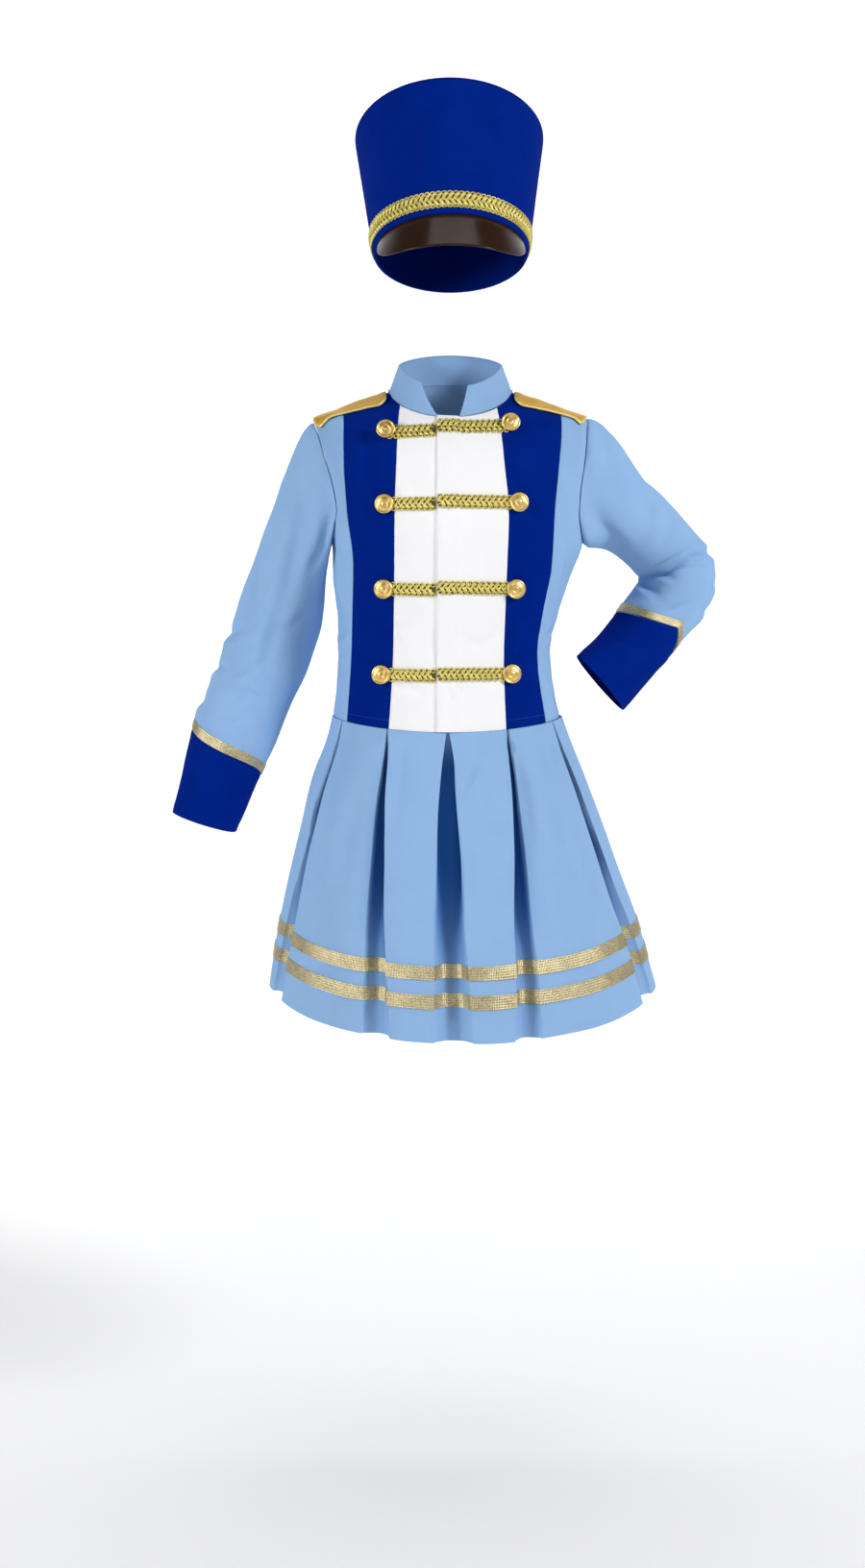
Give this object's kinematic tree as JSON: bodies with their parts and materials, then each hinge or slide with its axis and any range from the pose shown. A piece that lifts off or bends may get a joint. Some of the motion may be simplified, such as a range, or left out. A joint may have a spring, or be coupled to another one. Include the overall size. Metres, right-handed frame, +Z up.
{
  "type": "majorette costume with shako hat",
  "caption": "Hollow child's parade dress with stand collar, pleated skirt, bent left sleeve and braided front, and a tall flared hat with visor above it.",
  "frame": {"origin": "midway between the two points where the shoulder seams meet the collar, where the wearer's shoulders hold the dress", "axes": "+Z up, -Y the wearer's front, +X the wearer's left"},
  "size_m": [0.5605, 0.3485, 0.9282],
  "materials": {
    "light_blue_twill": "light blue cotton and polyester twill, matt",
    "royal_blue_twill": "royal blue twill, matt",
    "white_twill": "white twill, matt",
    "gold_braid": "gold gimp braid, metallic yarn",
    "gold_ribbon": "pale gold woven ribbon, metallic yarn",
    "gold_satin": "gold satin, soft sheen",
    "gold_plate": "gold plated plastic, glossy",
    "dark_patent": "dark patent plastic, glossy"
  },
  "bodies": {
    "root": {"bodice_front_centre_right": "white_twill", "bodice_front_centre_left": "white_twill", "bodice_front_side_right": "royal_blue_twill", "bodice_front_side_left": "royal_blue_twill", "bodice_side_right": "light_blue_twill", "bodice_side_left": "light_blue_twill", "bodice_back": "light_blue_twill", "collar": "light_blue_twill", "sleeve_right": "light_blue_twill", "cuff_right": "royal_blue_twill", "cuff_ribbon_right": "gold_ribbon", "sleeve_left": "light_blue_twill", "cuff_left": "royal_blue_twill", "cuff_ribbon_left": "gold_ribbon", "epaulette_right": "gold_satin", "epaulette_left": "gold_satin", "braid_1_right": "gold_braid", "button_1_right": "gold_plate", "braid_1_left": "gold_braid", "button_1_left": "gold_plate", "braid_2_right": "gold_braid", "button_2_right": "gold_plate", "braid_2_left": "gold_braid", "button_2_left": "gold_plate", "braid_3_right": "gold_braid", "button_3_right": "gold_plate", "braid_3_left": "gold_braid", "button_3_left": "gold_plate", "braid_4_right": "gold_braid", "button_4_right": "gold_plate", "braid_4_left": "gold_braid", "button_4_left": "gold_plate", "skirt_front": "light_blue_twill", "skirt_back": "light_blue_twill", "skirt_ribbon_upper": "gold_ribbon", "skirt_ribbon_lower": "gold_ribbon", "hat_body": "royal_blue_twill", "hat_braid": "gold_braid", "hat_top": "royal_blue_twill", "hat_visor": "dark_patent"}
  },
  "joints": []
}
